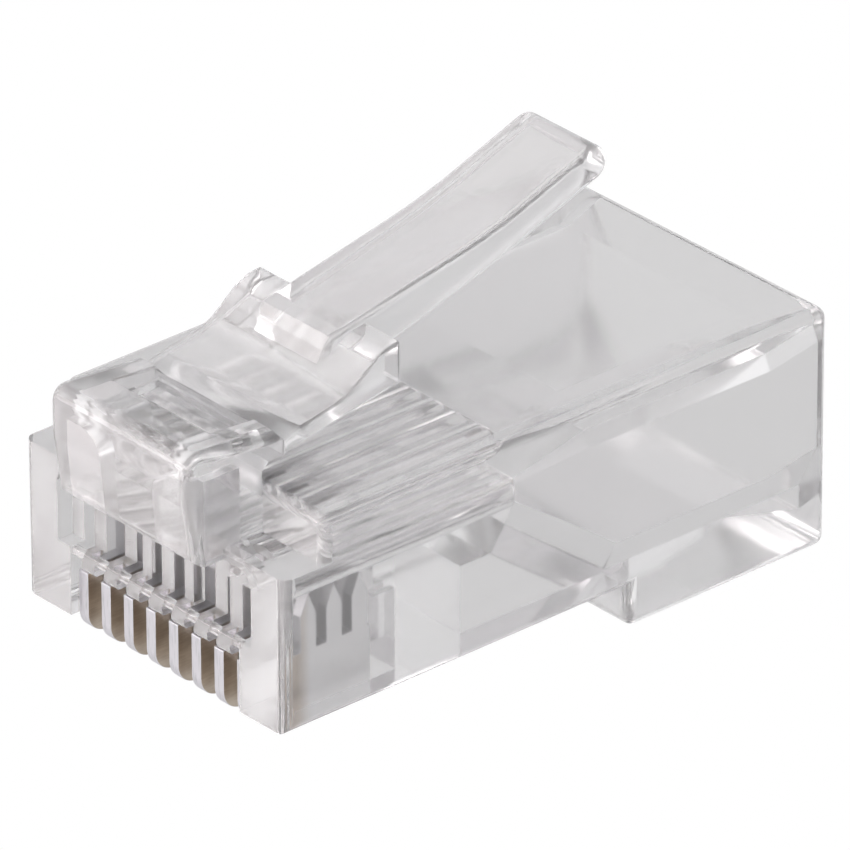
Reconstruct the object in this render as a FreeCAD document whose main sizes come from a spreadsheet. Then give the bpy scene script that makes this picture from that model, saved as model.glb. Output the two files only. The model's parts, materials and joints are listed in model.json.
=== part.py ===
import FreeCAD, Part
import math
import os
import re
import Sketcher
from FreeCAD import Vector

# Eight-way modular plug, open and not yet crimped, latch upwards.
# X runs across the plug, Y from the mating face to the cable mouth, Z upwards.
# Every sub-part is drawn from one datum: the middle of the mating face, level with the lowest face.

os.makedirs("parts", exist_ok=True)
doc = FreeCAD.newDocument("modular_plug")

# Driving sizes in millimetres: name, amount, meaning
SIZES = [
    ("body_width", 11.68, "across the side walls"),
    ("body_length", 21.2, "mating face to cable end"),
    ("body_height", 8.0, "rear section, base to top"),
    ("step_at", 13.3, "mating face to the front of the deeper rear section"),
    ("step_rise", 1.4, "how much deeper the rear section is"),
    ("ledge_height", 6.5, "base to the ledge over the contacts"),
    ("ledge_depth", 1.5, "mating face to the front of the rails"),
    ("edge_round", 0.35, "outer edges of the moulding"),
    ("contact_count", 8, "ways"),
    ("contact_pitch", 1.02, "contact to contact"),
    ("contact_gauge", 0.42, "thickness of the contact strip"),
    ("contact_front", 0.28, "mating face to the contact"),
    ("contact_length", 3.8, "contact, front to back"),
    ("contact_foot", 0.78, "base to the foot of the contact before it is crimped"),
    ("contact_shoulder", 2.47, "foot of the contact to the root of its tines"),
    ("contact_brow", 2.07, "foot of the contact to the step at its front"),
    ("contact_brow_length", 0.5, "step at the front of the contact, front to back"),
    ("contact_heel", 0.5, "round at the back of the foot"),
    ("contact_toe", 0.7, "round at the front of the foot"),
    ("tine_height", 1.85, "root to point"),
    ("tine_first", 1.47, "front of the contact to the middle of its first tine"),
    ("tine_width", 0.6, "each tine, front to back"),
    ("tine_pitch", 0.97, "tine to tine"),
    ("tine_count", 3, "tines on a contact"),
    ("tine_point", 0.7, "height of the sharpened part of a tine"),
    ("crimp_travel", 0.85, "how far crimping drives a contact in"),
    ("slot_clearance", 0.02, "contact to slot wall, each side"),
    ("slot_end_clearance", 0.1, "contact to the end of its slot"),
    ("rib_rise", 0.9, "side wall edge to the foot of the ribs between contacts"),
    ("rib_setback", 0.85, "mating face to the front of the ribs"),
    ("comb_front", 0.05, "mating face to the comb nosing"),
    ("comb_low", 3.05, "base to the underside of the comb nosing"),
    ("comb_high", 3.7, "base to the top of the comb nosing"),
    ("comb_notch", 3.45, "base to the top of the notches in the comb nosing"),
    ("comb_bar", 0.2, "bar that joins the comb above its notches"),
    ("comb_round", 0.12, "edges of the comb nosing"),
    ("window_half", 4.35, "middle to the side of the window over the comb"),
    ("window_depth", 0.55, "mating face to the back of that window"),
    ("window_drop", 0.35, "ledge over the contacts down to the top of that window"),
    ("window_round", 0.5, "upper corners of that window"),
    ("channel_bore", 0.94, "conductor channel"),
    ("tine_pierce", 0.4, "how far a crimped tine reaches past the middle of its channel"),
    ("channel_front", 1.15, "mating face to the blind end of the channels"),
    ("channel_back", 9.5, "mating face to the open end of the channels"),
    ("bay_back", 0.82, "end of the contact to the back of the contact bay and of the slots"),
    ("slot_tail_top", 4.1, "base to the top of the slots behind the contacts"),
    ("cavity_half", 4.3, "middle to the side of the cable cavity"),
    ("cavity_floor", 1.5, "base to the cavity floor"),
    ("cavity_floor_half", 3.2, "middle to the edge of the flat floor"),
    ("cavity_haunch", 2.6, "base to the top of the sloping lower corners"),
    ("cavity_roof", 6.65, "base to the cavity roof"),
    ("cavity_bevel", 0.5, "upper corners of the cavity"),
    ("funnel_start", 13.4, "mating face to where the cavity floor starts to rise"),
    ("roof_break", 12.3, "mating face to where the roof and sides start to narrow"),
    ("funnel_half", 4.12, "middle to the side of the funnel at the channels"),
    ("funnel_floor", 4.45, "base to the funnel floor at the channels"),
    ("funnel_roof", 6.1, "base to the funnel roof at the channels"),
    ("funnel_bevel", 0.15, "upper corners of the funnel at the channels"),
    ("mouth_depth", 1.7, "length of the flare at the cable mouth"),
    ("mouth_flare", 0.5, "how far the mouth opens out"),
    ("lip_depth", 3.1, "length of the sloping floor at the mouth"),
    ("lip_drop", 0.8, "how far that floor falls"),
    ("crimp_front", 7.8, "mating face to the crimping window"),
    ("crimp_back", 14.4, "mating face to the back of the crimping window"),
    ("bar_half", 2.9, "middle to the side of the strain relief bar"),
    ("bar_gap", 0.25, "bar to housing at each side and at its free end"),
    ("bar_thickness", 1.0, "bar"),
    ("bar_web", 0.5, "thin web that the bar swings on"),
    ("nose_width", 6.3, "latch root across the plug"),
    ("nose_foot", 1.0, "reach of the nose in front of the mating face, at its foot"),
    ("nose_reach", 1.3, "reach of the nose at its middle"),
    ("nose_middle", 8.2, "base to the furthest point of the nose"),
    ("nose_height", 9.88, "base to the top of the nose in front"),
    ("nose_back_height", 9.62, "base to the top of the nose behind"),
    ("nose_brow", 0.55, "round along the top of the nose"),
    ("nose_cheek", 0.42, "round down each side of the nose"),
    ("nose_back", 1.5, "mating face to the back of the nose"),
    ("nose_crest_end", 2.0, "mating face to the end of the nose top"),
    ("core_inner", 1.15, "middle to the inside of a hollow in the nose"),
    ("core_outer", 2.65, "middle to the outside of a hollow in the nose"),
    ("core_roof", 8.75, "base to the top of the hollows"),
    ("core_wall", 0.5, "front of the nose to the hollows"),
    ("core_round", 0.9, "arched inner corner of a hollow"),
    ("recess_half", 2.2, "middle to the side of the recess in front of the hinge"),
    ("recess_front", 0.17, "mating face to the top of the recess's front slope"),
    ("recess_toe", 0.9, "mating face to the foot of that slope"),
    ("dimple_half", 2.05, "middle to the end of the dimple in the recess"),
    ("dimple_length", 1.1, "dimple, from the foot of the slope to its back"),
    ("dimple_floor", 8.97, "base to the floor of the dimple"),
    ("hinge_at", 2.35, "mating face to the middle of the living hinge"),
    ("hinge_low", 8.72, "base to the underside of the living hinge"),
    ("hinge_thickness", 0.48, "living hinge"),
    ("hinge_throat", 0.25, "slope from the nose back to the underside of the hinge"),
    ("plate_start", 2.62, "mating face to the full thickness of the latch plate"),
    ("plate_start_height", 9.34, "base to the top of the plate there"),
    ("ramp_start", 4.75, "mating face to the foot of the ramp"),
    ("ramp_start_height", 9.75, "base to the foot of the ramp"),
    ("ramp_end", 6.05, "mating face to the top of the ramp"),
    ("ramp_end_height", 10.78, "base to the top of the ramp"),
    ("ramp_foot_round", 0.9, "hollow at the foot of the ramp"),
    ("ramp_head_round", 0.5, "round at the top of the ramp"),
    ("lock_at", 6.8, "mating face to the locking faces"),
    ("lock_high", 10.86, "base to the top of the locking faces"),
    ("lock_low", 9.5, "base to the underside of the latch at the locking faces"),
    ("lever_width", 3.25, "finger lever across"),
    ("lever_start", 5.0, "mating face to the foot of the lever"),
    ("lever_foot_height", 9.82, "base to the foot of the lever"),
    ("lever_crown", 5.45, "mating face to the start of the lever top"),
    ("lever_step", 0.05, "top of the ramp to the start of the lever top"),
    ("lever_bend", 11.7, "mating face to the bend of the lever top"),
    ("lever_climb", 0.208, "rise of the lever top before its bend, for each mm along"),
    ("lever_end", 15.95, "mating face to the end of the lever top"),
    ("lever_flare", 0.365, "rise of the lever top after its bend, for each mm along"),
    ("lever_thickness", 1.15, "finger lever"),
    ("lever_tip_round", 0.5, "round at the end of the lever"),
    ("lever_corner_round", 0.4, "corners of the lever seen from above"),
]
size = {name: amount for name, amount, meaning in SIZES}

sheet = doc.addObject("Spreadsheet::Sheet", "Sizes")
for row, (name, amount, meaning) in enumerate(SIZES, start=1):
    sheet.set(f"A{row}", meaning)
    sheet.set(f"B{row}", str(amount))
    sheet.setAlias(f"B{row}", name)
doc.recompute()

CLEAR = 5.0     # how far a cutting sketch runs out past the moulding
NEAR = 1e-4     # tolerance for finding an edge by its place

base_y = "-(body_length - nose_reach) / 2"


def formula(text):
    """Turns a formula in size names into an expression that reads the sheet."""
    def in_sheet(word):
        return "Sizes." + word.group(0) if word.group(0) in size else word.group(0)

    return re.sub(r"[a-z_]+", in_sheet, text)


def new_body(name):
    """Starts a sub-part, placed so that the whole plug is centred on the origin."""
    body = doc.addObject("PartDesign::Body", name)
    body.Label = name
    body.setExpression("Placement.Base.y", formula(base_y))
    return body


def origin_part(body, role):
    """Finds one of a body's own planes or axes."""
    return next(item for item in body.Origin.OriginFeatures if item.Role == role)


def new_sketch(body, plane, name, offset="0"):
    """Starts a sketch on a plane of its body, moved along the plane's normal."""
    sketch = body.newObject("Sketcher::SketchObject", name)
    sketch.AttachmentSupport = [(origin_part(body, plane), "")]
    sketch.MapMode = "FlatFace"
    sketch.setExpression("AttachmentOffset.Base.z", formula(offset))
    return sketch


def pin(sketch, geometry, corner, across, up):
    """Ties a point of a sketch to two formulas, measured from the sketch's origin."""
    for kind, text in (("DistanceX", across), ("DistanceY", up)):
        index = sketch.addConstraint(Sketcher.Constraint(kind, -1, 1, geometry, corner, 1.0))
        sketch.setExpression(f"Constraints[{index}]", formula(str(text)))


def outline(sketch, corners):
    """Draws a closed outline through the given corners."""
    first = len(sketch.Geometry)
    count = len(corners)
    turns = [2 * math.pi * step / count for step in range(count)]
    spots = [Vector(math.cos(turn), math.sin(turn), 0) for turn in turns]
    for step in range(count):
        sketch.addGeometry(Part.LineSegment(spots[step], spots[(step + 1) % count]), False)
    for step in range(count):
        following = (step + 1) % count
        sketch.addConstraint(Sketcher.Constraint("Coincident", first + step, 2, first + following, 1))
    for step, (across, up) in enumerate(corners):
        pin(sketch, first + step, 1, across, up)


def extrude(body, kind, sketch, name, length, symmetric=False, backwards=False):
    """Pads or pockets a sketch and makes sure that it changed the body."""
    before = body.Shape.Volume if body.Tip else 0.0
    feature = body.newObject("PartDesign::" + kind, name)
    feature.Profile = sketch
    feature.SideType = "Symmetric" if symmetric else "One side"
    feature.Reversed = backwards
    feature.setExpression("Length", formula(str(length)))
    body.Tip = feature
    doc.recompute()
    after = body.Shape.Volume
    if (kind == "Pad") != (after > before + NEAR) or (kind == "Pocket") != (after < before - NEAR):
        raise RuntimeError(f"{name} leaves {body.Label} as it was")
    return feature


def side_pad(body, name, corners, width):
    """Pads a side view, in Y and Z, to both sides of the middle."""
    sketch = new_sketch(body, "YZ_Plane", name + "_outline")
    outline(sketch, corners)
    return extrude(body, "Pad", sketch, name, width, symmetric=True)


def side_pocket(body, name, corners, width, centre="0"):
    """Cuts a side view, in Y and Z, to both sides of a plane across X."""
    sketch = new_sketch(body, "YZ_Plane", name + "_outline", centre)
    outline(sketch, corners)
    return extrude(body, "Pocket", sketch, name, width, symmetric=True)


def cut_loft(body, name, stations):
    """Cuts the space between cross sections, each given as its Y and its corners in X and Z."""
    sections = []
    for number, (along, corners) in enumerate(stations, start=1):
        sketch = new_sketch(body, "XZ_Plane", f"{name}_section_{number}", f"-({along})")
        outline(sketch, corners)
        sections.append(sketch)
    before = body.Shape.Volume
    loft = body.newObject("PartDesign::SubtractiveLoft", name)
    loft.Profile = sections[0]
    loft.Sections = sections[1:]
    loft.Ruled = True
    body.Tip = loft
    doc.recompute()
    if body.Shape.Volume > before - NEAR:
        raise RuntimeError(f"{name} cuts nothing")
    return loft


def repeat_across(body, feature, name):
    """Repeats a cut once for every way, at the contact pitch."""
    pattern = body.newObject("PartDesign::LinearPattern", name)
    pattern.Originals = [feature]
    pattern.Direction = (origin_part(body, "X_Axis"), [""])
    pattern.setExpression("Length", formula("(contact_count - 1) * contact_pitch"))
    pattern.setExpression("Occurrences", formula("contact_count"))
    body.Tip = pattern
    doc.recompute()
    return pattern


def round_edges(body, name, radius, wanted):
    """Rounds the edges of a body that the test wanted picks."""
    base = body.Tip
    names = [f"Edge{number}" for number, edge in enumerate(base.Shape.Edges, start=1) if wanted(edge)]
    if not names:
        raise RuntimeError(f"{name} finds no edge")
    feature = body.newObject("PartDesign::Fillet", name)
    feature.Base = (base, names)
    feature.setExpression("Radius", formula(radius))
    body.Tip = feature
    doc.recompute()
    return feature


def near(a, b):
    return abs(a - b) < NEAR


def runs_along(edge, axis):
    """True for a straight edge parallel to X, Y or Z, given as 0, 1 or 2."""
    box = edge.BoundBox
    spans = (box.XLength, box.YLength, box.ZLength)
    return all(spans[other] < NEAR for other in range(3) if other != axis)


def lies_at(edge, **place):
    """True where the edge lies in the planes given as x, y or z; x counts on both sides."""
    box = edge.BoundBox
    ends = {"x": (abs(box.XMin), abs(box.XMax)), "y": (box.YMin, box.YMax), "z": (box.ZMin, box.ZMax)}
    return all(near(end, amount) for key, amount in place.items() for end in ends[key])


first_way = "-(contact_count - 1) / 2 * contact_pitch"
window_top = "(ledge_height - window_drop)"
slot_back = "contact_front + contact_length + slot_end_clearance"
tine_top = "contact_foot + contact_shoulder + tine_height"
slot_width = "contact_gauge + 2 * slot_clearance"
row_width = f"(contact_count - 1) * contact_pitch + {slot_width}"


def build_housing():
    """The clear moulding: body, contact slots, conductor channels, cable cavity and latch root."""
    body = new_body("housing")
    housing_block(body)
    housing_nose(body)
    housing_front(body)
    housing_ways(body)
    housing_cavity(body)
    housing_window(body)


def housing_block(body):
    """The outer block in side view: shallow front, deeper rear section, ledge in front of the rails."""
    side_pad(body, "block", [
        ("0", "step_rise"),
        ("step_at", "step_rise"),
        ("step_at", "0"),
        ("body_length", "0"),
        ("body_length", "body_height"),
        ("ledge_depth", "body_height"),
        ("ledge_depth", "ledge_height"),
        ("0", "ledge_height"),
    ], "body_width")

    def outer(edge):
        inner_corner = lies_at(edge, y=size["step_at"], z=size["step_rise"])
        ledge_corner = lies_at(edge, y=size["ledge_depth"], z=size["ledge_height"])
        ledge_edge = lies_at(edge, z=size["ledge_height"]) or lies_at(edge, y=0, z=size["step_rise"])
        return not (inner_corner or ledge_corner or ledge_edge)

    round_edges(body, "outer_rounds", "edge_round", outer)


def housing_nose(body):
    """The nose that the latch springs from, with its two hollows and the dimpled recess on its top."""
    side_pad(body, "nose", [
        ("-nose_foot", window_top),
        ("-nose_reach", "nose_middle"),
        ("-nose_reach", "nose_height"),
        ("nose_crest_end", "nose_back_height"),
        ("hinge_at", "hinge_low + hinge_thickness"),
        ("hinge_at", "hinge_low"),
        ("nose_back + hinge_throat", "hinge_low"),
        ("nose_back", "hinge_low - hinge_throat"),
        ("nose_back", window_top),
    ], "nose_width")

    def brow(edge):
        return runs_along(edge, 0) and lies_at(edge, y=-size["nose_reach"], z=size["nose_height"])

    def cheek(edge):
        box = edge.BoundBox
        in_front = box.YMax < 0 and box.ZMin > size["ledge_height"] - size["window_drop"] - NEAR
        return lies_at(edge, x=size["nose_width"] / 2) and in_front

    round_edges(body, "nose_brow_round", "nose_brow", brow)
    round_edges(body, "nose_cheek_round", "nose_cheek", cheek)

    hollows = new_sketch(body, "XZ_Plane", "nose_hollow_outline", "nose_foot - core_wall")
    for side in ("", "-"):
        outline(hollows, [
            (side + "core_inner", "comb_high"),
            (side + "core_inner", "core_roof"),
            (side + "core_outer", "core_roof"),
            (side + "core_outer", "comb_high"),
        ])
    extrude(body, "Pocket", hollows, "nose_hollows", "nose_foot - core_wall + rib_setback")

    def arch(edge):
        return runs_along(edge, 1) and lies_at(edge, x=size["core_inner"], z=size["core_roof"])

    round_edges(body, "nose_hollow_arches", "core_round", arch)

    side_pocket(body, "nose_recess", [
        ("recess_front", "nose_height"),
        ("recess_toe", "hinge_low + hinge_thickness"),
        ("hinge_at", "hinge_low + hinge_thickness"),
        ("hinge_at", "nose_height"),
    ], "2 * recess_half")
    dimple = new_sketch(body, "XY_Plane", "nose_dimple_outline", "nose_height")
    outline(dimple, [
        ("-dimple_half", "recess_toe"),
        ("dimple_half", "recess_toe"),
        ("dimple_half", "recess_toe + dimple_length"),
        ("-dimple_half", "recess_toe + dimple_length"),
    ])
    extrude(body, "Pocket", dimple, "nose_dimple", "nose_height - dimple_floor")


def housing_front(body):
    """The open contact bay between the side walls, the comb nosing across it and the window above."""
    side_pocket(body, "contact_bay", [
        (-CLEAR, "0"),
        (f"{slot_back} + bay_back", "0"),
        (f"{slot_back} + bay_back", "step_rise + rib_rise"),
        ("rib_setback", "step_rise + rib_rise"),
        ("rib_setback", "comb_low"),
        ("comb_front", "comb_low"),
        ("comb_front", "comb_high"),
        (-CLEAR, "comb_high"),
    ], row_width)
    side_pocket(body, "comb_window", [
        (-CLEAR, "comb_high"),
        ("window_depth", "comb_high"),
        ("window_depth", window_top),
        (-CLEAR, window_top),
    ], "2 * window_half")

    def window_corner(edge):
        top = size["ledge_height"] - size["window_drop"]
        return runs_along(edge, 1) and lies_at(edge, x=size["window_half"], z=top)

    def comb_edge(edge):
        high = lies_at(edge, y=size["comb_front"], z=size["comb_high"])
        low = lies_at(edge, y=size["comb_front"], z=size["comb_low"])
        return runs_along(edge, 0) and (high or low)

    round_edges(body, "window_corner_rounding", "window_round", window_corner)
    round_edges(body, "comb_rounding", "comb_round", comb_edge)


def housing_ways(body):
    """One slot and one conductor channel for every way."""
    slot = side_pocket(body, "contact_slot", [
        (-CLEAR, "0"),
        (f"{slot_back} + bay_back", "0"),
        (f"{slot_back} + bay_back", "slot_tail_top"),
        (slot_back, "slot_tail_top"),
        (slot_back, f"{tine_top} + slot_end_clearance"),
        ("comb_front + comb_bar", f"{tine_top} + slot_end_clearance"),
        ("comb_front + comb_bar", "comb_notch"),
        (-CLEAR, "comb_notch"),
    ], slot_width, first_way)
    repeat_across(body, slot, "contact_slots")

    bore = new_sketch(body, "XZ_Plane", "channel_outline", "-channel_front")
    circle = bore.addGeometry(Part.Circle(Vector(-1, 1, 0), Vector(0, 0, 1), 1), False)
    radius = bore.addConstraint(Sketcher.Constraint("Radius", circle, 1.0))
    bore.setExpression(f"Constraints[{radius}]", formula("channel_bore / 2"))
    pin(bore, circle, 3, first_way, f"{tine_top} + crimp_travel - tine_pierce")
    channel = extrude(body, "Pocket", bore, "conductor_channel", "channel_back - channel_front")
    repeat_across(body, channel, "conductor_channels")


# The strain relief bar follows the funnel floor, so both take these points from the same sizes.
bar_tip = "channel_back + bar_gap"
slope = "(funnel_floor - cavity_floor) / (funnel_start - channel_back)"
slant = "sqrt(1 + ((funnel_floor - cavity_floor) / (funnel_start - channel_back)) ^ 2)"
bar_tip_top = f"funnel_floor - bar_gap * {slope}"
under_y = f"bar_thickness * {slope} / {slant}"
under_z = f"bar_thickness / {slant}"


def both_sides(corners):
    """Completes a cross section from its right half, given from the top down."""
    left = [("-(" + across + ")", up) for across, up in reversed(corners)]
    return corners + left


def housing_cavity(body):
    """The cable cavity: flared mouth, straight jacket space and the funnel to the channels."""
    def section(half, roof, bevel, rise):
        return both_sides([
            (f"{half} - {bevel}", roof),
            (half, f"{roof} - {bevel}"),
            (half, f"cavity_floor + {rise} + {haunch} * ({half} - cavity_floor_half)"),
            ("cavity_floor_half", f"cavity_floor + {rise}"),
        ])

    haunch = "(cavity_haunch - cavity_floor) / (cavity_half - cavity_floor_half)"
    jacket = section("cavity_half", "cavity_roof", "cavity_bevel", "0")
    neck = section("cavity_half", "cavity_roof", "cavity_bevel", f"(funnel_start - roof_break) * {slope}")
    throat = section("funnel_half", "funnel_roof", "funnel_bevel", "(funnel_floor - cavity_floor)")
    mouth = section("(cavity_half + mouth_flare)", "(cavity_roof + mouth_flare)", "cavity_bevel", "0")
    cut_loft(body, "jacket_space", [("body_length", jacket), ("funnel_start", jacket)])
    cut_loft(body, "funnel", [("funnel_start", jacket), ("roof_break", neck), ("channel_back", throat)])
    cut_loft(body, "cable_mouth", [("body_length", mouth), ("body_length - mouth_depth", jacket)])
    side_pocket(body, "mouth_lip", [
        ("body_length - lip_depth", "cavity_floor"),
        ("body_length", "cavity_floor - lip_drop"),
        ("body_length", "cavity_floor"),
    ], "2 * cavity_floor_half")


def housing_window(body):
    """The crimping window under the cable, which the strain relief bar fills."""
    side_pocket(body, "crimping_window", [
        ("crimp_front", -CLEAR),
        ("crimp_back", -CLEAR),
        ("crimp_back", "cavity_floor"),
        ("funnel_start", "cavity_floor"),
        ("channel_back", "funnel_floor"),
        (f"channel_back - {under_y}", f"funnel_floor - {under_z}"),
        ("crimp_front", f"funnel_floor - {under_z}"),
    ], "2 * (bar_half + bar_gap)")


def build_strain_relief_bar():
    """The bar that crimping swings up on to the cable jacket, on its thin web."""
    body = new_body("strain_relief_bar")
    web_low = "cavity_floor - bar_web"
    web_front = f"{bar_tip} - {under_y} + ({bar_tip_top} - {under_z} - ({web_low})) / ({slope})"
    side_pad(body, "bar", [
        (bar_tip, bar_tip_top),
        ("funnel_start", "cavity_floor"),
        ("crimp_back", "cavity_floor"),
        ("crimp_back", web_low),
        (web_front, web_low),
        (f"{bar_tip} - {under_y}", f"{bar_tip_top} - {under_z}"),
    ], "2 * bar_half")


def build_latch_tab():
    """The spring latch: flexible plate, two locking shoulders and the narrow finger lever."""
    body = new_body("latch_tab")
    side_pad(body, "plate", [
        ("hinge_at", "hinge_low"),
        ("hinge_at", "hinge_low + hinge_thickness"),
        ("plate_start", "plate_start_height"),
        ("ramp_start", "ramp_start_height"),
        ("ramp_end", "ramp_end_height"),
        ("lock_at", "lock_high"),
        ("lock_at", "lock_low"),
    ], "nose_width")

    def ramp_foot(edge):
        return runs_along(edge, 0) and lies_at(edge, y=size["ramp_start"])

    def ramp_head(edge):
        return runs_along(edge, 0) and lies_at(edge, y=size["ramp_end"])

    round_edges(body, "ramp_foot_hollow", "ramp_foot_round", ramp_foot)
    round_edges(body, "ramp_head_rounding", "ramp_head_round", ramp_head)

    crown_height = "(ramp_end_height + lever_step)"
    bend_height = f"({crown_height} + lever_climb * (lever_bend - lever_crown))"
    end_height = f"({bend_height} + lever_flare * (lever_end - lever_bend))"
    flare_slant = "sqrt(1 + lever_flare ^ 2)"
    under_end_y = f"lever_end + lever_thickness * lever_flare / {flare_slant}"
    under_end_z = f"{end_height} - lever_thickness / {flare_slant}"
    side_pad(body, "lever", [
        ("lever_start", "lock_low"),
        ("lever_start", "lever_foot_height"),
        ("lever_crown", crown_height),
        ("lever_bend", bend_height),
        ("lever_end", end_height),
        (under_end_y, under_end_z),
        ("lever_bend + lever_thickness * lever_climb", f"{bend_height} - lever_thickness"),
        ("lock_at", "lock_low"),
    ], "lever_width")

    half_lever = size["lever_width"] / 2

    def tip(edge):
        return runs_along(edge, 0) and edge.BoundBox.YMin > size["lever_end"] - NEAR

    def corner(edge):
        box = edge.BoundBox
        return lies_at(edge, x=half_lever) and box.YMin > size["lever_end"] - NEAR

    round_edges(body, "lever_tip_rounding", "lever_tip_round", tip)
    round_edges(body, "lever_corner_rounding", "lever_corner_round", corner)


def build_contact(number):
    """One contact blade: foot with rounded toe and heel, step at its front and sharpened tines."""
    body = new_body(f"contact_{number}")
    way = f"{first_way} + {number - 1} * contact_pitch"
    back = "contact_front + contact_length"
    shoulder = "contact_foot + contact_shoulder"
    brow = "contact_foot + contact_brow"
    corners = [
        ("contact_front", "contact_foot"),
        (back, "contact_foot"),
        (back, shoulder),
    ]
    for tine in reversed(range(int(size["tine_count"]))):
        middle = f"contact_front + tine_first + {tine} * tine_pitch"
        corners += [
            (f"{middle} + tine_width / 2", shoulder),
            (f"{middle} + tine_width / 2", f"{tine_top} - tine_point"),
            (middle, tine_top),
            (f"{middle} - tine_width / 2", f"{tine_top} - tine_point"),
            (f"{middle} - tine_width / 2", shoulder),
        ]
    corners += [
        ("contact_front + contact_brow_length", shoulder),
        ("contact_front + contact_brow_length", brow),
        ("contact_front", brow),
    ]
    sketch = new_sketch(body, "YZ_Plane", f"blade_{number}_outline", way)
    outline(sketch, corners)
    extrude(body, "Pad", sketch, f"blade_{number}", "contact_gauge", symmetric=True)

    def toe(edge):
        return runs_along(edge, 0) and lies_at(edge, y=size["contact_front"], z=size["contact_foot"])

    def heel(edge):
        foot_end = size["contact_front"] + size["contact_length"]
        return runs_along(edge, 0) and lies_at(edge, y=foot_end, z=size["contact_foot"])

    round_edges(body, f"toe_{number}", "contact_toe", toe)
    round_edges(body, f"heel_{number}", "contact_heel", heel)


build_housing()
build_latch_tab()
build_strain_relief_bar()
for way_number in range(1, int(size["contact_count"]) + 1):
    build_contact(way_number)

doc.recompute()
broken = [item.Name for item in doc.Objects if "Invalid" in item.State or "Error" in item.State]
if broken:
    raise RuntimeError(f"these did not build: {broken}")

for body in doc.findObjects("PartDesign::Body"):
    if body.Shape.isNull() or not body.Shape.isValid():
        raise RuntimeError(f"{body.Label} is not a sound solid")
    body.Shape.exportStep(f"parts/{body.Label}.step")
    box = body.Shape.BoundBox
    print(f"{body.Label:18s} {len(body.Shape.Solids)} solid {body.Shape.Volume:8.2f} mm3",
          f"x {box.XMin:6.2f} {box.XMax:6.2f}  y {box.YMin:6.2f} {box.YMax:6.2f}",
          f"z {box.ZMin:6.2f} {box.ZMax:6.2f}")
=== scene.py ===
# %% [markdown]
# # A clear modular plug, dressed for its portrait
# The plug is one small clear moulding with eight metal blades in it. The CAD frame gives every
# piece its true shape and place, in metres, so each new piece goes where the frame says. What this
# lesson adds is what a camera sees from a hand's width away: softened mould edges, a springy
# latch, plated metal, and a pale table with a few wide lamps.

# %% Load the frame and keep its size
import bpy
import json
import math
from mathutils import Matrix, Vector

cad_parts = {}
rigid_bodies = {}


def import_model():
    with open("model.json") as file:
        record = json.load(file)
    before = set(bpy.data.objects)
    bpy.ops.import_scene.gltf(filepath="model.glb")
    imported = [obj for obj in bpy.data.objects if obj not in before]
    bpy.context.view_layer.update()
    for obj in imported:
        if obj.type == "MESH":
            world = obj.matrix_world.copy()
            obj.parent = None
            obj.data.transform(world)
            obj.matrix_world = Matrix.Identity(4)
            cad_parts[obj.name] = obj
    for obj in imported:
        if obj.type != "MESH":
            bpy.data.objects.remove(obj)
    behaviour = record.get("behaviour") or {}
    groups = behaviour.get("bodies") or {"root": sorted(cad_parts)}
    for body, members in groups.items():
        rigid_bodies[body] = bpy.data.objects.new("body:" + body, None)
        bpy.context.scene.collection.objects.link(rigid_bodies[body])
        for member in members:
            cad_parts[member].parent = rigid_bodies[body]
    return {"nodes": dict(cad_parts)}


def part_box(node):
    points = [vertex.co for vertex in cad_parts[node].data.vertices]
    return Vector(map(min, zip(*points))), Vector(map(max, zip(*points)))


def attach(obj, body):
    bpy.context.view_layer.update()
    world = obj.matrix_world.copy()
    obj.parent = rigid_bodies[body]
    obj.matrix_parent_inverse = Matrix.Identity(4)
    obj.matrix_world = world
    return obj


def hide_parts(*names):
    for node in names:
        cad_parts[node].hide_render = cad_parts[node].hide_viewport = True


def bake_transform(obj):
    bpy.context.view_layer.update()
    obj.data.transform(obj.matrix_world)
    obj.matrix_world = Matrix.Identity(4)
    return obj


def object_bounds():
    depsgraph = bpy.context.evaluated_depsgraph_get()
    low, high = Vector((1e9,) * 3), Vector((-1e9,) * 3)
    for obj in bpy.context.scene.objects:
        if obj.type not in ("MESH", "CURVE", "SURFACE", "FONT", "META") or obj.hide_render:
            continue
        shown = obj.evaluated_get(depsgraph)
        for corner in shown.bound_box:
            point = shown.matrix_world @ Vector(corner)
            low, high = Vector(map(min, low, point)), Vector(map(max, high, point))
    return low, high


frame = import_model()
cad_box = [list(corner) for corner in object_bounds()]
mm = 0.001
print("CAD box in metres:", cad_box)

# %% [markdown]
# ## One way to measure
# A plug maker measures everything from the mating face, the front that goes into the jack, and in
# millimetres. The frame has its origin in the middle and counts in metres. Two small helpers turn
# one into the other, so that the sizes below can be read as on a drawing: x across the plug,
# y behind the mating face, z above the table.

# %% Drawing places and frame places
body_length = 21.2  # from the mating face to the cable end, which is the frame's furthest Y
middle = body_length - cad_box[1][1] / mm


def in_frame(x, y, z):
    return Vector((x, y - middle, z)) * mm


def in_drawing(point):
    return Vector(point) / mm + Vector((0, middle, 0))


print("the frame's middle lies", round(middle, 3), "mm behind the mating face")

# %% [markdown]
# ## Colours and nodes
# Colours are written as hex numbers, as a paint maker would write them. Blender works in linear
# light, so one function turns the first into the second. A second helper adds a node, sets it and
# links it, which keeps each material short enough to read in one go.

# %% Colour helper
def linear(code):
    channels = [int(code[at:at + 2], 16) / 255 for at in (1, 3, 5)]
    return [c / 12.92 if c <= 0.04045 else ((c + 0.055) / 1.055) ** 2.4 for c in channels] + [1.0]


print("mid grey is", linear("#808080")[:3])


# %% Node helper
def add_node(tree, kind, settings=None, values=None, links=None):
    node = tree.nodes.new(kind)
    for name, value in (settings or {}).items():
        setattr(node, name, value)
    for name, value in (values or {}).items():
        node.inputs[name].default_value = value
    for name, source in (links or {}).items():
        tree.links.new(source, node.inputs[name])
    return node


# %% Start a material
def new_material(name):
    material = bpy.data.materials.new(name)
    material.use_nodes = True
    material.node_tree.nodes.clear()
    return material, material.node_tree


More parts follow.
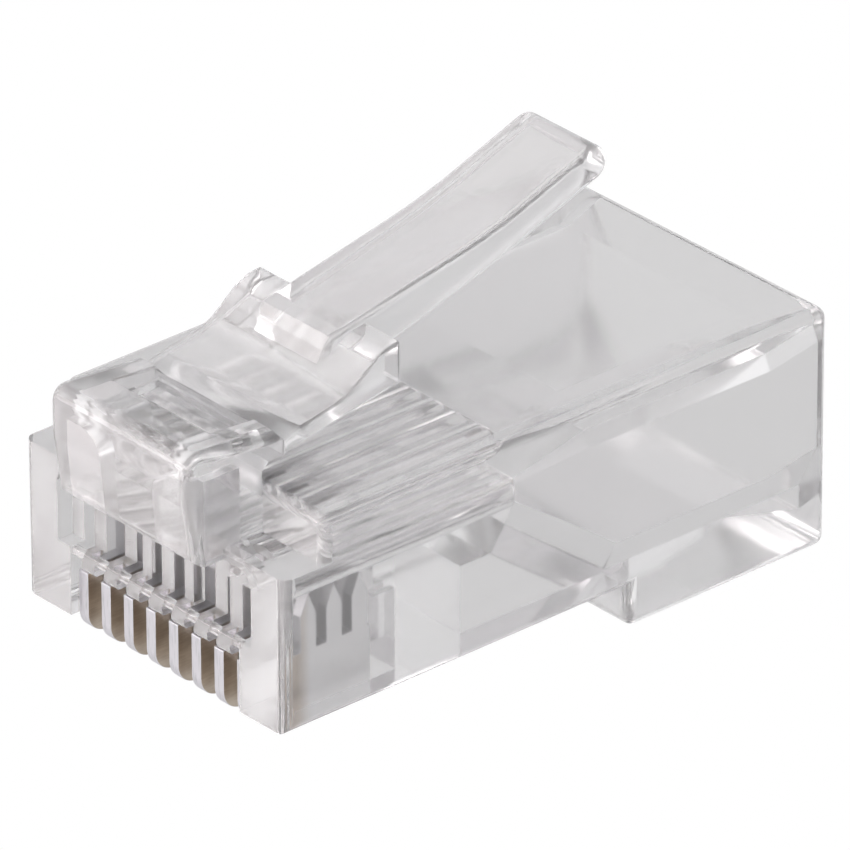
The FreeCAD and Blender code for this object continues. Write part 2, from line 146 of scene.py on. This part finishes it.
# %% [markdown]
# ## Clear polycarbonate
# The housing, latch and strain relief bar are injection moulded polycarbonate: water clear, with
# an index of refraction of 1.585. A polished mould leaves a glossy skin with a faint orange peel,
# and the flow of the plastic leaves long, weak streaks from front to back. Both are a small bump.
# The plastic also scatters a little light, so it isn't all transmission: the last 8 per cent is a
# white haze, which makes the thick parts of the real plug look milky rather than dark.

# %% Clear polycarbonate
peel_size = 1.1 * mm
flow_width = 0.5 * mm
flow_shrink = 0.08  # drawn out along the plug, to about twelve times their width
skin_relief = 0.02 * mm

clear, tree = new_material("moulded_clear_polycarbonate")
place = add_node(tree, "ShaderNodeTexCoord")
peel = add_node(tree, "ShaderNodeTexNoise", values={"Scale": 1 / peel_size, "Detail": 2.0},
                links={"Vector": place.outputs["Object"]})
along = add_node(tree, "ShaderNodeMapping", values={"Scale": (1.0, flow_shrink, 1.0)},
                 links={"Vector": place.outputs["Object"]})
flow = add_node(tree, "ShaderNodeTexNoise", values={"Scale": 1 / flow_width, "Detail": 3.0},
                links={"Vector": along.outputs["Vector"]})
relief = add_node(tree, "ShaderNodeMath", {"operation": "ADD"},
                  links={0: peel.outputs["Fac"], 1: flow.outputs["Fac"]})
skin = add_node(tree, "ShaderNodeBump", values={"Strength": 0.06, "Distance": skin_relief},
                links={"Height": relief.outputs["Value"]})
shader = add_node(tree, "ShaderNodeBsdfPrincipled",
                  values={"Base Color": linear("#fefdfe"), "Roughness": 0.12, "IOR": 1.585,
                          "Transmission Weight": 0.92},
                  links={"Normal": skin.outputs["Normal"]})
add_node(tree, "ShaderNodeOutputMaterial", links={"Surface": shader.outputs["BSDF"]})
print("made", clear.name)

# %% [markdown]
# ## Contact metal
# A contact is stamped from phosphor bronze strip, then plated with nickel, with a gold flash at
# the front where the jack's springs touch it. Its flat sides keep the sheen of the rolled strip,
# with fine scratches from the rolls and the stamping tool. They look brown where gold covers them
# and pale grey behind. One noise draws the scratches and one the cloudy tone, and a colour ramp
# for each metal turns their sum into a colour. The two ramps meet where the gold ends.

# %% Rolled sides of a contact
scratch_width = 0.07 * mm
cloud_size = 0.8 * mm
gold_ends = (1.3, 1.8)  # it fades out over this stretch behind the mating face
scratch_relief = 0.01 * mm
scratch_drawn = (0.2, 0.1, 1.0)  # drawn out front to back, as the strip was rolled
scratch_share = 0.6  # of the scratches in the tone, with all of the clouds
ramp_start = 0.55  # where the sum of the two noises starts to turn paler

rolled, tree = new_material("rolled_phosphor_bronze")
place = add_node(tree, "ShaderNodeTexCoord")
across = add_node(tree, "ShaderNodeMapping", values={"Scale": scratch_drawn},
                  links={"Vector": place.outputs["Object"]})
scratch = add_node(tree, "ShaderNodeTexNoise",
                   values={"Scale": 1 / scratch_width, "Detail": 5.0, "Roughness": 0.7},
                   links={"Vector": across.outputs["Vector"]})
cloud = add_node(tree, "ShaderNodeTexNoise", values={"Scale": 1 / cloud_size, "Detail": 2.0},
                 links={"Vector": place.outputs["Object"]})
mixed = add_node(tree, "ShaderNodeMath", {"operation": "MULTIPLY_ADD"}, values={1: scratch_share},
                 links={0: scratch.outputs["Fac"], 2: cloud.outputs["Fac"]})
nickel = add_node(tree, "ShaderNodeValToRGB", links={"Fac": mixed.outputs["Value"]})
nickel.color_ramp.elements[0].position = ramp_start
nickel.color_ramp.elements[0].color = linear("#f6f6f6")
nickel.color_ramp.elements[1].color = linear("#fdfdfd")
gold = add_node(tree, "ShaderNodeValToRGB", links={"Fac": mixed.outputs["Value"]})
gold.color_ramp.elements[0].position = ramp_start
gold.color_ramp.elements[0].color = linear("#b8a99a")
gold.color_ramp.elements[1].color = linear("#ded2c4")
print("the ramps run from", ramp_start, "to", nickel.color_ramp.elements[1].position)

# %% Join gold and nickel, and finish the rolled sides
where = add_node(tree, "ShaderNodeSeparateXYZ", links={"Vector": place.outputs["Object"]})
gold_from, gold_to = (in_frame(0, y, 0).y for y in gold_ends)
fade = add_node(tree, "ShaderNodeMapRange", values={"From Min": gold_from, "From Max": gold_to},
                links={"Value": where.outputs["Y"]})
# A Mix node of colours takes them on its sockets 6 and 7 and gives the result on its socket 2.
tone = add_node(tree, "ShaderNodeMix", {"data_type": "RGBA"},
                links={"Factor": fade.outputs["Result"], 6: gold.outputs["Color"],
                       7: nickel.outputs["Color"]})
rough = add_node(tree, "ShaderNodeMapRange", values={"To Min": 0.28, "To Max": 0.5},
                 links={"Value": scratch.outputs["Fac"]})
lines = add_node(tree, "ShaderNodeBump", values={"Strength": 0.25, "Distance": scratch_relief},
                 links={"Height": scratch.outputs["Fac"]})
shader = add_node(tree, "ShaderNodeBsdfPrincipled", values={"Metallic": 1.0},
                  links={"Base Color": tone.outputs[2], "Roughness": rough.outputs["Result"],
                         "Normal": lines.outputs["Normal"]})
add_node(tree, "ShaderNodeOutputMaterial", links={"Surface": shader.outputs["BSDF"]})
print("made", rolled.name)

# %% [markdown]
# ## Sheared edges of a contact
# The narrow edges all round a contact were cut by the punch, which burnishes them in streaks, and
# then plated. They look pale and bright low down, where they face the jack, and darker up in the
# slot, where the housing shades them; that darkening is painted shade. The streaks are a noise that
# is drawn out up the contact, and the height above the table darkens the tone as painted shade.

# %% Sheared and plated edges of a contact
streak_width = 0.06 * mm
# painted shade from here up: the edges are drawn darker in the slot, where the housing shades them
painted_shade_from = 2.9 * mm
painted_shade_above = 3.2 * mm
painted_shade_depth = -0.9
streak_drawn = (1.0, 0.3, 0.1)  # drawn out up the contact

sheared, tree = new_material("sheared_nickel_plated_edge")
place = add_node(tree, "ShaderNodeTexCoord")
drawn = add_node(tree, "ShaderNodeMapping", values={"Scale": streak_drawn},
                 links={"Vector": place.outputs["Object"]})
streak = add_node(tree, "ShaderNodeTexNoise", values={"Scale": 1 / streak_width, "Detail": 3.0},
                  links={"Vector": drawn.outputs["Vector"]})
where = add_node(tree, "ShaderNodeSeparateXYZ", links={"Vector": place.outputs["Object"]})
# painted shade: the higher the edge, the darker its tone, up to the second height
fade = add_node(tree, "ShaderNodeMapRange",
                values={"From Min": painted_shade_from, "From Max": painted_shade_above, "To Max": painted_shade_depth},
                links={"Value": where.outputs["Z"]})
shade = add_node(tree, "ShaderNodeMath", {"operation": "ADD"},
                 links={0: streak.outputs["Fac"], 1: fade.outputs["Result"]})
tone = add_node(tree, "ShaderNodeValToRGB", links={"Fac": shade.outputs["Value"]})
tone.color_ramp.elements[0].position = 0.1
tone.color_ramp.elements[0].color = linear("#cfcfd1")
tone.color_ramp.elements[1].position = 0.5
tone.color_ramp.elements[1].color = linear("#f6f3f8")
rough = add_node(tree, "ShaderNodeMapRange", values={"To Min": 0.35, "To Max": 0.55},
                 links={"Value": streak.outputs["Fac"]})
shader = add_node(tree, "ShaderNodeBsdfPrincipled", values={"Metallic": 1.0},
                  links={"Base Color": tone.outputs["Color"], "Roughness": rough.outputs["Result"]})
add_node(tree, "ShaderNodeOutputMaterial", links={"Surface": shader.outputs["BSDF"]})
print("made", sheared.name)

# %% [markdown]
# ## Picking edges by place
# In the window a modeller clicks an edge. A script has no mouse, so it asks each edge where it is
# and how sharp it is, and selects those that answer. These few helpers are that mouse. A bevel then
# rounds what they picked.

# %% Make one piece the active one
def only(piece):
    if bpy.context.object and bpy.context.object.mode != "OBJECT":
        bpy.ops.object.mode_set(mode="OBJECT")
    bpy.ops.object.select_all(action="DESELECT")
    piece.select_set(True)
    bpy.context.view_layer.objects.active = piece


# %% Pick edges: wanted is asked with each edge and its two ends, as places on the drawing
def pick_edges(piece, wanted):
    only(piece)
    bpy.ops.object.mode_set(mode="EDIT")
    bpy.ops.mesh.select_mode(type="EDGE")
    bpy.ops.mesh.select_all(action="DESELECT")
    bpy.ops.object.mode_set(mode="OBJECT")
    mesh = piece.data
    count = 0
    for edge in mesh.edges:
        a, b = (in_drawing(mesh.vertices[number].co) for number in edge.vertices)
        if wanted(edge, a, b):
            edge.select = True
            count += 1
    bpy.ops.object.mode_set(mode="EDIT")
    return count


# %% Round the picked edges
def round_picked(piece, radius, segments, wanted, clamp=False):
    count = pick_edges(piece, wanted)
    bpy.ops.mesh.bevel(offset=radius * mm, segments=segments, profile=0.5, clamp_overlap=clamp)
    bpy.ops.object.mode_set(mode="OBJECT")
    print("rounded", count, "edges of", piece.name, "by", radius, "mm")


# %% [markdown]
# ## Copies that can be worked on
# A CAD piece arrives as loose triangles. A copy of it is merged into shared corners, and triangles
# that lie in one plane are joined into one face, so that it can be bevelled like something
# modelled by hand. The CAD piece itself is left alone, because it is the truth that the copy is
# checked against.

# %% Make a shared-edge copy of a CAD piece
same_corner = 0.002  # corners closer than this are one
same_plane = 0.5  # faces that turn less than this many degrees are one


def merged_copy(node, name):
    bpy.ops.object.select_all(action="DESELECT")
    piece = frame["nodes"][node].copy()
    piece.data = frame["nodes"][node].data.copy()
    piece.name = name
    piece.data.name = name
    bpy.context.collection.objects.link(piece)
    only(piece)
    bpy.ops.object.parent_clear(type="CLEAR_KEEP_TRANSFORM")
    bpy.ops.object.mode_set(mode="EDIT")
    bpy.ops.mesh.select_all(action="SELECT")
    bpy.ops.mesh.remove_doubles(threshold=same_corner * mm)
    bpy.ops.mesh.dissolve_limited(angle_limit=math.radians(same_plane))
    bpy.ops.object.mode_set(mode="OBJECT")
    print(name, "has", len(piece.data.polygons), "faces after merging")
    return piece


# %% Find the sharp edges of a copy that are clean enough to break
sharpest = 40  # degrees; a flatter edge belongs to a fillet already


def clean_edges(piece, shortest):
    mesh = piece.data
    normals_at = {}
    for face in mesh.polygons:
        for ends in face.edge_keys:
            normals_at.setdefault(ends, []).append(face.normal.copy())
    least = [1.0] * len(mesh.vertices)
    for edge in mesh.edges:
        a, b = edge.vertices
        length = (mesh.vertices[a].co - mesh.vertices[b].co).length / mm
        least[a] = min(least[a], length)
        least[b] = min(least[b], length)
    good = set()
    for edge in mesh.edges:
        a, b = edge.vertices
        sides = normals_at.get(edge.key, [])
        if len(sides) == 2 and min(least[a], least[b]) > shortest:
            if sides[0].angle(sides[1]) > math.radians(sharpest):
                good.add(edge.index)
    return good


# %% Break those edges, up to a place behind the mating face
broken_segments = 3


def break_edges(piece, radius, shortest, up_to=body_length + 1):
    good = clean_edges(piece, shortest)
    round_picked(piece, radius, broken_segments,
                 lambda edge, a, b: edge.index in good and min(a.y, b.y) < up_to, clamp=True)


# %% [markdown]
# ## Shading that suits clear plastic
# A clear piece bends every ray by its normals, twice or more, so a normal that strays by a few
# degrees on a flat wall shows as a fan or a star. The usual smooth shading lets a wide flat face
# borrow from the round beside it. Here each wide face keeps its own normal, and the narrow strips
# of a round take theirs from the nearest wide face, so that the round still runs into the flat.

# %% Smooth a piece without bending its flat faces
smooth_below = 38  # degrees
wide_face = 0.25  # mm, a face's area divided by its longest edge
same_side = 45  # degrees between a strip and the wide face that it runs into


def smooth(piece):
    only(piece)
    bpy.ops.object.shade_smooth_by_angle(angle=math.radians(smooth_below))
    mesh = piece.data
    normals = [corner.vector.copy() for corner in mesh.corner_normals]
    wide = {}
    for face in mesh.polygons:
        corners = [mesh.vertices[number].co for number in face.vertices]
        longest = max((a - b).length for a, b in zip(corners, corners[1:] + corners[:1]))
        if face.area / longest > wide_face * mm:
            wide[face.index] = face.normal.copy()
    wide_at = {}
    for number, normal in wide.items():
        for vertex in mesh.polygons[number].vertices:
            wide_at.setdefault(vertex, []).append(normal)
    for face in mesh.polygons:
        for corner in face.loop_indices:
            nearby = wide_at.get(mesh.loops[corner].vertex_index, [])
            close = [normal for normal in nearby if normal.angle(face.normal, 0) < math.radians(same_side)]
            if face.index in wide:
                normals[corner] = wide[face.index]
            elif close:
                normals[corner] = min(close, key=lambda normal: normal.angle(face.normal, 0))
    mesh.normals_split_custom_set(normals)
    print(piece.name, "has", len(mesh.polygons), "faces, of which", len(wide), "are wide and flat")


# %% Finish a clear piece: shading, material, and hiding the CAD node that it stands for
def finish_clear(piece, node):
    smooth(piece)
    piece.data.materials.clear()
    piece.data.materials.append(clear)
    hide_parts(node)


# %% Cut a piece across, so that it can bend there
def cut_across(piece, places):
    only(piece)
    bpy.ops.object.mode_set(mode="EDIT")
    for y in places:
        bpy.ops.mesh.select_all(action="SELECT")
        bpy.ops.mesh.bisect(plane_co=in_frame(0, y, 0), plane_no=(0, 1, 0))
    bpy.ops.object.mode_set(mode="OBJECT")
    print("cut", piece.name, "across at", places)


# %% [markdown]
# ## Housing
# The housing is the CAD solid with its mould edges broken. A sharp edge catches no light, and every
# real moulding has a small radius where the two halves of the mould were polished. Only clean
# edges are rounded: where a fillet already ends in short facets, a bevel would fold over itself.

# %% Housing
mould_break = 0.06  # radius of a polished mould edge
mould_shortest = 0.14  # a corner with a shorter edge than this belongs to a fillet

housing = merged_copy("housing", "clear_housing")
break_edges(housing, mould_break, mould_shortest)
finish_clear(housing, "housing")
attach(housing, "shell")

# %% [markdown]
# ## Latch
# The latch is a flexible plate with two locking shoulders and a finger lever, moulded with the
# housing and joined to it by a thin living hinge. It could be a copy of the CAD solid too, but its
# lever has round edges all the way down, so it is traced from the side as two outlines that
# are rounded first and then joined. The sizes are those of the drawing. What the frame gives is
# read from the latch's own box: where the hinge starts, how low it lies and how wide the plate is.

# %% Trace a side view and give it a width
def trace(name, corners, width):
    bpy.ops.object.select_all(action="DESELECT")
    y, z = corners[0]
    bpy.ops.mesh.primitive_plane_add(size=mm, location=in_frame(-width / 2, y, z))
    piece = bpy.context.object
    piece.name = name
    piece.data.name = name
    bpy.ops.object.transform_apply(location=True, rotation=True, scale=True)
    bpy.ops.object.mode_set(mode="EDIT")
    bpy.ops.mesh.select_mode(type="VERT")
    bpy.ops.mesh.select_all(action="SELECT")
    bpy.ops.mesh.merge(type="CENTER")
    for (y, z), (next_y, next_z) in zip(corners, corners[1:]):
        step = (0, (next_y - y) * mm, (next_z - z) * mm)
        bpy.ops.mesh.extrude_vertices_move(TRANSFORM_OT_translate={"value": step})
    bpy.ops.mesh.select_all(action="SELECT")
    bpy.ops.mesh.edge_face_add()
    bpy.ops.mesh.extrude_region_move(TRANSFORM_OT_translate={"value": (width * mm, 0, 0)})
    bpy.ops.mesh.select_all(action="SELECT")
    bpy.ops.mesh.normals_make_consistent(inside=False)
    bpy.ops.object.mode_set(mode="OBJECT")
    print("traced", name, "with", len(corners), "corners")
    return piece


# %% Tell the edges that run across a piece from those in its side view
touching = 0.01  # mm, how near an edge's end must be to a place to count as there


def runs_across(a, b):
    return abs(a.x - b.x) > touching


# %% Sizes of the plate, in mm
latch_low, latch_high = (in_drawing(corner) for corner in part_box("latch_tab"))
sink = 0.02  # clear pieces run this far into each other, so that no gap shows between them
hinge_thickness = 0.48
plate_width = latch_high.x - latch_low.x
hinge_seam = latch_low.y - sink
hinge_low = latch_low.z
hinge_high = hinge_low + hinge_thickness
plate_start = (2.62, 9.34)
ramp_foot = (4.75, 9.75)
ramp_head = (6.05, 10.78)
lock_at = 6.8
lock_high = 10.86
lock_low = 9.5
ramp_foot_round = 0.35
ramp_head_round = 0.3
lock_round = 0.08
plate_side_round = 0.12
print("plate", round(plate_width, 2), "mm wide, its hinge starts at", round(hinge_seam, 2))

# %% Plate with its two shoulders
plate = trace("clear_latch", [(hinge_seam, hinge_low), (hinge_seam, hinge_high), plate_start, ramp_foot,
                              ramp_head, (lock_at, lock_high), (lock_at, lock_low)], plate_width)
for y, radius, segments in ((ramp_foot[0], ramp_foot_round, 5), (ramp_head[0], ramp_head_round, 4),
                            (lock_at, lock_round, 3)):
    round_picked(plate, radius, segments,
                 lambda edge, a, b: runs_across(a, b) and abs(a.y - y) < touching)
round_picked(plate, plate_side_round, segments=3, wanted=lambda edge, a, b: not runs_across(a, b))

# %% Sizes of the finger lever, in mm
lever_width = 3.25
lever_foot = (4.776, 9.318)  # inside the plate, so that the two outlines can be joined
lever_crown = (5.45, 10.83)
lever_bend = (11.7, 12.13)
lever_end = (15.95, 13.68)
lever_end_below = (16.344, 12.60)
lever_bend_below = (11.94, 10.98)
bend_reach = 0.4  # the upper and the lower edge of the bend lie within this of its place
tip_round = 0.5
bend_round = 1.2
lever_side_round = 0.26
print("lever", lever_width, "mm wide, its tip", round(latch_high.z, 2), "mm above the table")

# %% Finger lever
lever = trace("finger_lever", [lever_foot, lever_crown, lever_bend, lever_end, lever_end_below,
                               lever_bend_below, (lock_at, lock_low)], lever_width)
round_picked(lever, tip_round, segments=6,
             wanted=lambda edge, a, b: runs_across(a, b) and a.y > lever_end[0] - touching)
round_picked(lever, bend_round, segments=5,
             wanted=lambda edge, a, b: runs_across(a, b) and abs(a.y - lever_bend[0]) < bend_reach)
round_picked(lever, lever_side_round, segments=4, wanted=lambda edge, a, b: not runs_across(a, b))

# %% Join the lever to the plate
only(plate)
join = plate.modifiers.new("join_lever", "BOOLEAN")
join.operation = "UNION"
join.solver = "EXACT"
join.object = lever
bpy.ops.object.modifier_apply(modifier=join.name)
bpy.data.objects.remove(lever, do_unlink=True)
print("latch has", len(plate.data.polygons), "faces")

# %% [markdown]
# ## Living hinge
# The latch can't turn stiffly on its moulded hinge: the thin plastic behind the nose bends.

# %% Cut the hinge across in thin slices
bend_to = 3.4
cut_across(plate, (2.45, 2.6, 2.8, 3.0, 3.2, bend_to))
finish_clear(plate, "latch_tab")
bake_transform(plate)

# %% [markdown]
# ## Strain relief bar
# Under the rear of the plug a bar swings in when the plug is crimped, and grips the cable jacket.
# It is part of the same moulding and hangs on a thin web at its back. The copy's back end is pushed
# a hair into the housing, because two clear walls that only touch would show a seam, and the web
# is cut across as the latch's hinge is.

# %% Strain relief bar
bar = merged_copy("strain_relief_bar", "clear_bar")
bar_back = in_drawing(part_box("strain_relief_bar")[1]).y
web_start = 13.8
pick_edges(bar, lambda edge, a, b: min(a.y, b.y) > bar_back - touching)
bpy.ops.transform.translate(value=(0, sink * mm, 0))
bpy.ops.object.mode_set(mode="OBJECT")
break_edges(bar, mould_break, mould_shortest, up_to=bar_back - touching)

# %% Cut the web across in thin slices
cut_across(bar, (web_start, 13.95, 14.1, 14.25))
finish_clear(bar, "strain_relief_bar")
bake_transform(bar)

# %% [markdown]
# ## Contacts
# All eight contacts are the same stamping, so one is finished and the rest are copies of it, each
# with its own mesh, one pitch apart. Its flat sides are the rolled strip and all the rest is the
# sheared edge, which a face's normal tells apart.

# %% One contact
blade_break = 0.03  # what tumbling leaves on a stamped edge
blade_shortest = 0.02
flat_side = 0.9  # how much of its normal a flat side has across the plug

first = merged_copy("contact_1", "blade_1")
break_edges(first, blade_break, blade_shortest)
smooth(first)
first.data.materials.clear()
first.data.materials.append(rolled)
first.data.materials.append(sheared)
for face in first.data.polygons:
    face.material_index = 0 if abs(face.normal.x) > flat_side else 1
print("blade_1 has", len(first.data.polygons), "faces")

# %% The rest of the row
nodes = sorted(node for node in frame["nodes"] if node.startswith("contact_"))
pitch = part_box(nodes[1])[0].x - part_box(nodes[0])[0].x
blades = [first]
for number in range(1, len(nodes)):
    blade = first.copy()
    blade.data = first.data.copy()
    blade.name = f"blade_{number + 1}"
    blade.data.name = blade.name
    bpy.context.collection.objects.link(blade)
    blade.data.transform(Matrix.Translation((number * pitch, 0, 0)))
    blades.append(blade)
for node, blade in zip(nodes, blades):
    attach(blade, node)
    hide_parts(node)
print("made", len(blades), "blades", round(pitch / mm, 3), "mm apart")

# %% [markdown]
# ## Table
# The plug lies on a white card. The camera sees the card as pure white. Metal and clear plastic see
# it a little darker, so that the plastic's own edges stand out against it, and other light meets a
# plain matt card, which keeps the plug's shadow.

# %% Table
table_size = 1.2
table_gap = 0.02  # mm, so that the card and the plug's underside are two surfaces
card_lift = 1.2  # how much brighter the card is in a mirror than through the plastic

bpy.ops.object.select_all(action="DESELECT")
bpy.ops.mesh.primitive_plane_add(size=table_size, location=(0, 0, -table_gap * mm))
table = bpy.context.object
table.name = "table"
paper, tree = new_material("white_card")
paths = add_node(tree, "ShaderNodeLightPath")
card = add_node(tree, "ShaderNodeBsdfDiffuse", values={"Color": linear("#c8c8c8")})
seen = add_node(tree, "ShaderNodeEmission", values={"Color": linear("#ffffff"), "Strength": 1.0})
lift = add_node(tree, "ShaderNodeMapRange", values={"To Min": 1.0, "To Max": card_lift},
                links={"Value": paths.outputs["Is Glossy Ray"]})
through = add_node(tree, "ShaderNodeEmission", values={"Color": linear("#c0c0c0")},
                   links={"Strength": lift.outputs["Result"]})
either = add_node(tree, "ShaderNodeMath", {"operation": "MAXIMUM"},
                  links={0: paths.outputs["Is Glossy Ray"], 1: paths.outputs["Is Transmission Ray"]})
inside = add_node(tree, "ShaderNodeMixShader",
                  links={0: either.outputs["Value"], 1: card.outputs["BSDF"], 2: through.outputs["Emission"]})
surface = add_node(tree, "ShaderNodeMixShader",
                   links={0: paths.outputs["Is Camera Ray"], 1: inside.outputs["Shader"],
                          2: seen.outputs["Emission"]})
add_node(tree, "ShaderNodeOutputMaterial", links={"Surface": surface.outputs["Shader"]})
table.data.materials.append(paper)
print("made", table.name, "of", paper.name)

# %% [markdown]
# ## Room
# A product studio is a white tent: light comes from all round, and here it is brightest low down and
# softer overhead, so that the upright faces of the plastic stay as pale as its top. The camera sees
# the tent as plain white.

# %% Room
tent_low, tent_high = -0.2, 0.8  # the sines of the elevations between which the light falls off
light_low, light_high = 1.25, 0.62

world = bpy.context.scene.world or bpy.data.worlds.new("studio")
bpy.context.scene.world = world
world.use_nodes = True
tree = world.node_tree
tree.nodes.clear()
paths = add_node(tree, "ShaderNodeLightPath")
place = add_node(tree, "ShaderNodeTexCoord")
height = add_node(tree, "ShaderNodeSeparateXYZ", links={"Vector": place.outputs["Generated"]})
tent = add_node(tree, "ShaderNodeMapRange",
                values={"From Min": tent_low, "From Max": tent_high,
                        "To Min": light_low, "To Max": light_high},
                links={"Value": height.outputs["Z"]})
room = add_node(tree, "ShaderNodeBackground", values={"Color": linear("#ffffff")},
                links={"Strength": tent.outputs["Result"]})
white = add_node(tree, "ShaderNodeBackground", values={"Color": linear("#ffffff"), "Strength": 1.0})
surface = add_node(tree, "ShaderNodeMixShader",
                   links={0: paths.outputs["Is Camera Ray"], 1: room.outputs["Background"],
                          2: white.outputs["Background"]})
add_node(tree, "ShaderNodeOutputWorld", links={"Surface": surface.outputs["Shader"]})
print("made the room's light")

# %% [markdown]
# ## Lamps
# Three wide lamps stand round the plug. The strong one in front lights the haze of the plastic and
# the card, and reflections and clear plastic don't see it, because as a mirror image it would burn
# out to white. A weak one near the same place gives the soft sheen instead, and a faint one hangs
# overhead.

# %% Lamps
lamp_target = (0, 0, 4 * mm)  # the middle of the plug


def lamp(name, place, aim, width, height, power, colour="#ffffff"):
    bpy.ops.object.light_add(type="AREA", location=place)
    light = bpy.context.object
    light.name = name
    light.data.shape = "RECTANGLE"
    light.data.size = width
    light.data.size_y = height
    light.data.energy = power
    light.data.color = linear(colour)[:3]
    light.rotation_euler = (Vector(aim) - Vector(place)).to_track_quat("-Z", "Y").to_euler()
    print("lamp", name, "of", power, "W")
    return light


lamp("overhead_box", (-0.05, 0.1, 0.35), (0, 0, 0), width=0.3, height=0.3, power=0.05)
front = lamp("front_box", (-0.08, -0.36, 0.06), lamp_target, width=0.4, height=0.12, power=3.8,
             colour="#fff5f3")
front.visible_glossy = False
front.visible_transmission = False
lamp("front_sheen", (-0.08, -0.36, 0.08), lamp_target, width=0.6, height=0.16, power=0.7,
     colour="#fff8f8")

# %% [markdown]
# ## Camera
# The photograph was taken from the plug's front right and above, with a long lens from a good way
# off, which keeps its parallel edges nearly parallel. The camera stands on that line and is turned
# by a hair about it. The picture's middle lies a little above the middle of the plug.

# %% Long lens
azimuth = math.radians(49.04)
elevation = math.radians(28.65)
roll = math.radians(-0.25)
distance = 356.6 * mm
centre = Vector((0, 0.05 * mm, 4 * mm))
aim_right = 0.333 * mm
aim_up = 1.478 * mm

back = Vector((math.sin(azimuth) * math.cos(elevation), -math.cos(azimuth) * math.cos(elevation),
               math.sin(elevation)))
right = Vector((math.cos(azimuth), math.sin(azimuth), 0))
up = back.cross(right)
lens_at = centre + back * distance
aim = centre + right * aim_right + up * aim_up
away = (lens_at - aim).normalized()
across = up.cross(away).normalized()
upright = away.cross(across)
turned = Matrix((across, upright, away)).transposed().to_4x4()
bpy.ops.object.camera_add(location=lens_at)
camera = bpy.context.object
camera.data.lens = 512.8
camera.data.sensor_width = 36
camera.data.clip_start = 10 * mm
camera.matrix_world = Matrix.Translation(lens_at) @ turned @ Matrix.Rotation(roll, 4, "Z")
bpy.context.scene.camera = camera
print("camera at", [round(c, 4) for c in lens_at])

# %% [markdown]
# ## Picture settings
# A clear plug has many walls one behind the other, and light that is cut off after a few of them
# leaves black patches, so it is followed further than usual. Standard view keeps colours as
# written.

# %% Picture settings
bounces = 32
bpy.context.scene.view_settings.view_transform = "Standard"
bpy.context.scene.cycles.max_bounces = bounces
bpy.context.scene.cycles.glossy_bounces = bounces
bpy.context.scene.cycles.transmission_bounces = bounces
print("light is followed for", bounces, "bounces")
